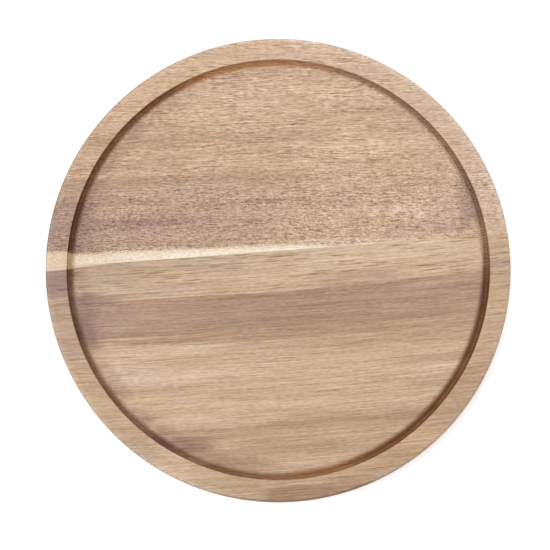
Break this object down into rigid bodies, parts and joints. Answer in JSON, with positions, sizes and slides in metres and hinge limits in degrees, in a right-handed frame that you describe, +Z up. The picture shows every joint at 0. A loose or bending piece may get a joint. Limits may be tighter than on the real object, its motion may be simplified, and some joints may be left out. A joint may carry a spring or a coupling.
{
  "type": "pizza serving board",
  "caption": "Round wooden serving board, edge-glued from wide staves, with a juice groove just inside the rim and softly rounded edges.",
  "frame": {"origin": "centre of the flat underside, where the board rests", "axes": "+Z up out of the grooved top face; the grain and the glue line run along X; the narrower stave is on the +Y side"},
  "size_m": [0.33, 0.33, 0.015],
  "materials": {
    "back_stave_wood": "lightly oiled, satin, interlocked grain with a wedge of pale sapwood",
    "front_stave_wood": "lightly oiled, satin, straight grain with short dark pores and soft colour bands",
    "glue": "dried wood glue, dull, sanded flush"
  },
  "bodies": {
    "root": {"back_stave": "back_stave_wood", "front_stave": "front_stave_wood", "glue_line": "glue"}
  },
  "joints": []
}
